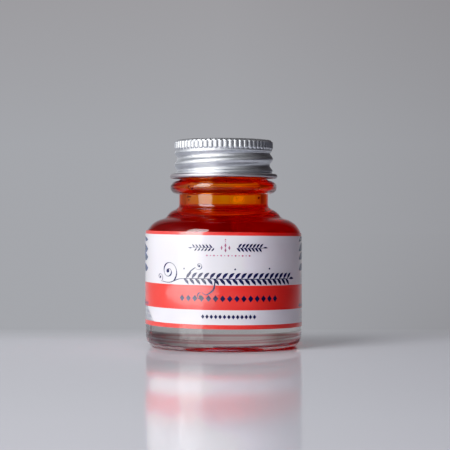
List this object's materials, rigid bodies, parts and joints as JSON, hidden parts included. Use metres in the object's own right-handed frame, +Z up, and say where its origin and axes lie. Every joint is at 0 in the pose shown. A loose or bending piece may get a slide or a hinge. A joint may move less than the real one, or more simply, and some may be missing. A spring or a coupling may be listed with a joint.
{
  "type": "ink bottle",
  "caption": "Round glass ink bottle with a stepped shoulder, a wrap-round paper label, a dark fill and a rolled metal screw cap with a foam liner.",
  "frame": {"origin": "centre of the bottle on the plane that it stands on", "axes": "+Z up along the bottle's axis, the label's front faces -Y, +X to the right of the label"},
  "size_m": [0.0422, 0.0422, 0.0555],
  "materials": {
    "clear_glass": "clear flint glass, fire polished",
    "red_ink": "transparent red-orange water-based liquid",
    "label_paper": "satin coated white paper with coral-red bands",
    "liner_foam": "white expanded polyethylene foam",
    "cap_aluminium": "satin lacquered bare aluminium"
  },
  "bodies": {
    "bottle": {"glass_bottle": "clear_glass", "ink": "red_ink", "label": "label_paper"},
    "liner": {"cap_liner": "liner_foam"},
    "cap": {"cap_shell": "cap_aluminium"}
  },
  "joints": [
    {"name": "cap_rise", "type": "slide", "parent": "bottle", "child": "liner", "axis": [0, 0, 1], "range_m": [0, 0.014]},
    {"name": "cap_turn", "type": "hinge", "parent": "liner", "child": "cap", "pos_m": [0, 0, 0.0555], "axis": [0, 0, 1], "range_deg": [0, 1440]}
  ],
  "couplings": [
    {"joint": "cap_rise", "follows": "cap_turn", "m_per_rad": 0.00055704}
  ]
}
